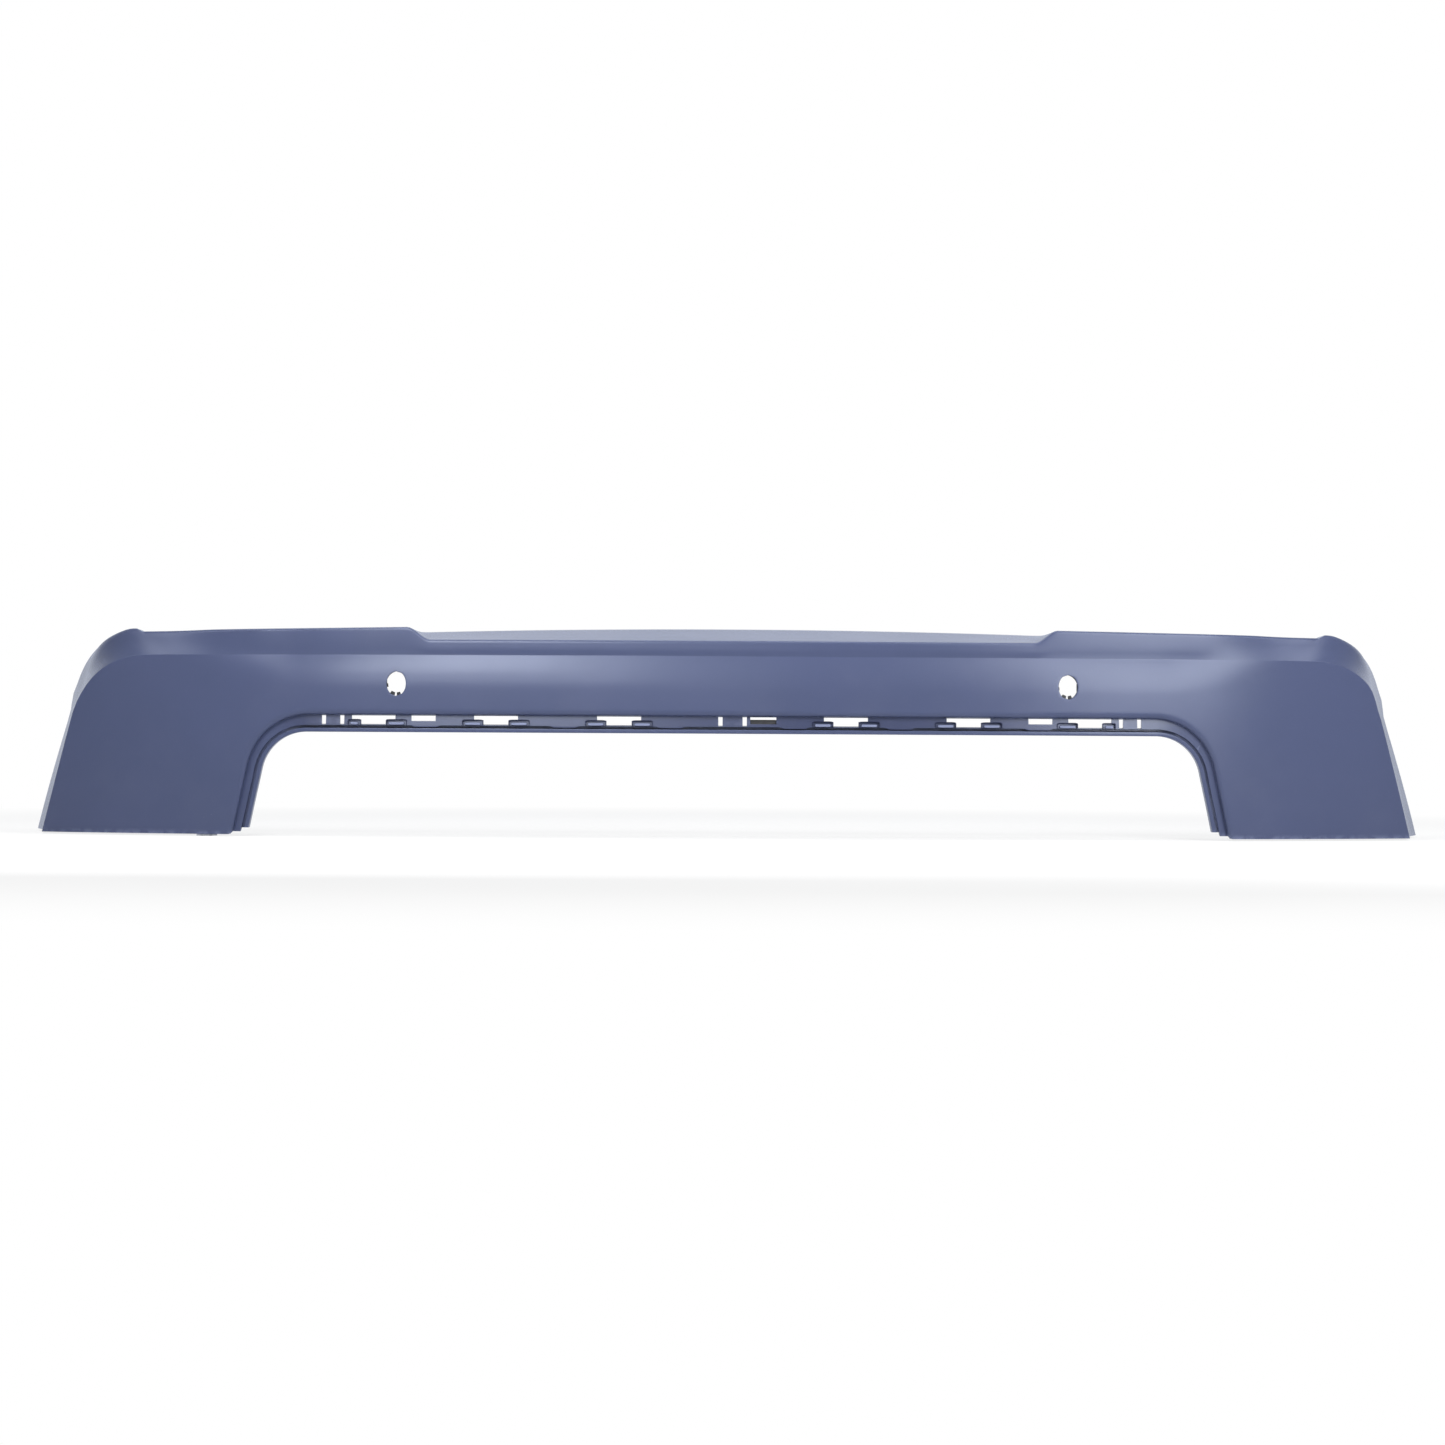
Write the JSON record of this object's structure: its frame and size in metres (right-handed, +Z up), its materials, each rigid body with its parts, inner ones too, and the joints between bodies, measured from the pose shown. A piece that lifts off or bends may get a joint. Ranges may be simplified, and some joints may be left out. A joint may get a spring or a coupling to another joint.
{
  "type": "bumper cover",
  "caption": "Wide inverted-U rear bumper cover: one primed moulding with raised shoulders, loading shelf, sensor holes with holders behind them, and a slotted strip for the lower trim.",
  "frame": {"origin": "under the middle of the cover, level with its lowest point", "axes": "+X across the car, the seen face towards -Y, +Z up"},
  "size_m": [1.877, 0.3375, 0.271],
  "materials": {
    "primed_plastic": "satin grey-blue primer on moulded plastic",
    "black_plastic": "unpainted black moulding",
    "foam_tape": "double-sided foam tape",
    "zinc_steel": "dark zinc-plated spring steel"
  },
  "bodies": {
    "root": {"cover_shell": "primed_plastic", "centre_clip": "black_plastic", "edge_clip": "zinc_steel", "sensor_bracket_left": "black_plastic", "sensor_tape_left": "foam_tape", "sensor_bracket_right": "black_plastic", "sensor_tape_right": "foam_tape"},
    "latch_left_inner": {"sensor_latch_left_inner": "black_plastic"},
    "latch_left_outer": {"sensor_latch_left_outer": "black_plastic"},
    "latch_right_inner": {"sensor_latch_right_inner": "black_plastic"},
    "latch_right_outer": {"sensor_latch_right_outer": "black_plastic"}
  },
  "joints": [
    {"name": "latch_left_inner_flex", "type": "hinge", "parent": "root", "child": "latch_left_inner", "pos_m": [-0.40749, -0.14238, 0.196], "axis": [0, 0, -1], "range_deg": [0, 8], "stiffness_Nm_per_rad": 0.02},
    {"name": "latch_left_outer_flex", "type": "hinge", "parent": "root", "child": "latch_left_outer", "pos_m": [-0.44653, -0.13875, 0.196], "axis": [0, 0, 1], "range_deg": [0, 8], "stiffness_Nm_per_rad": 0.02},
    {"name": "latch_right_inner_flex", "type": "hinge", "parent": "root", "child": "latch_right_inner", "pos_m": [0.40749, -0.14238, 0.196], "axis": [0, 0, 1], "range_deg": [0, 8], "stiffness_Nm_per_rad": 0.02},
    {"name": "latch_right_outer_flex", "type": "hinge", "parent": "root", "child": "latch_right_outer", "pos_m": [0.44653, -0.13875, 0.196], "axis": [0, 0, -1], "range_deg": [0, 8], "stiffness_Nm_per_rad": 0.02}
  ]
}
